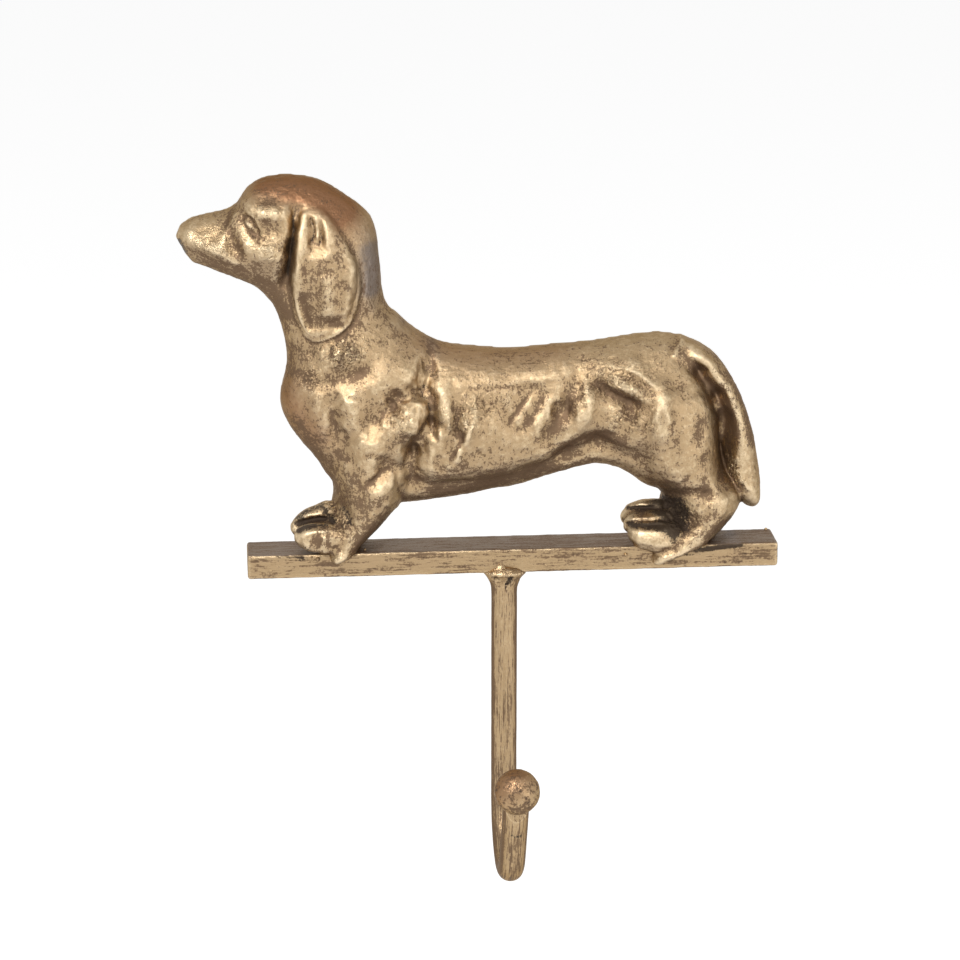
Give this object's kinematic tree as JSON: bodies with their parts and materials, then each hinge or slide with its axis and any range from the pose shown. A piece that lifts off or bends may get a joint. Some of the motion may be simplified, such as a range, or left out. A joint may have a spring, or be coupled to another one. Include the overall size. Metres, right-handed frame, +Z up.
{
  "type": "dachshund hook",
  "caption": "Wall hook in antique gold: a cast half relief of a standing dachshund on a flat bar, with a bent rod hook ending in a ball.",
  "frame": {"origin": "middle of the bar's back face, on the wall plane", "axes": "+Z up the wall, +Y into the wall, -Y out of it; the dog looks along -X"},
  "size_m": [0.1459, 0.049, 0.1745],
  "materials": {
    "antique_gold": "satin",
    "antique_gold_bar": "brushed"
  },
  "bodies": {
    "root": {"dachshund": "antique_gold", "base_bar": "antique_gold_bar", "hook_rod": "antique_gold_bar", "ball_tip": "antique_gold"}
  },
  "joints": []
}
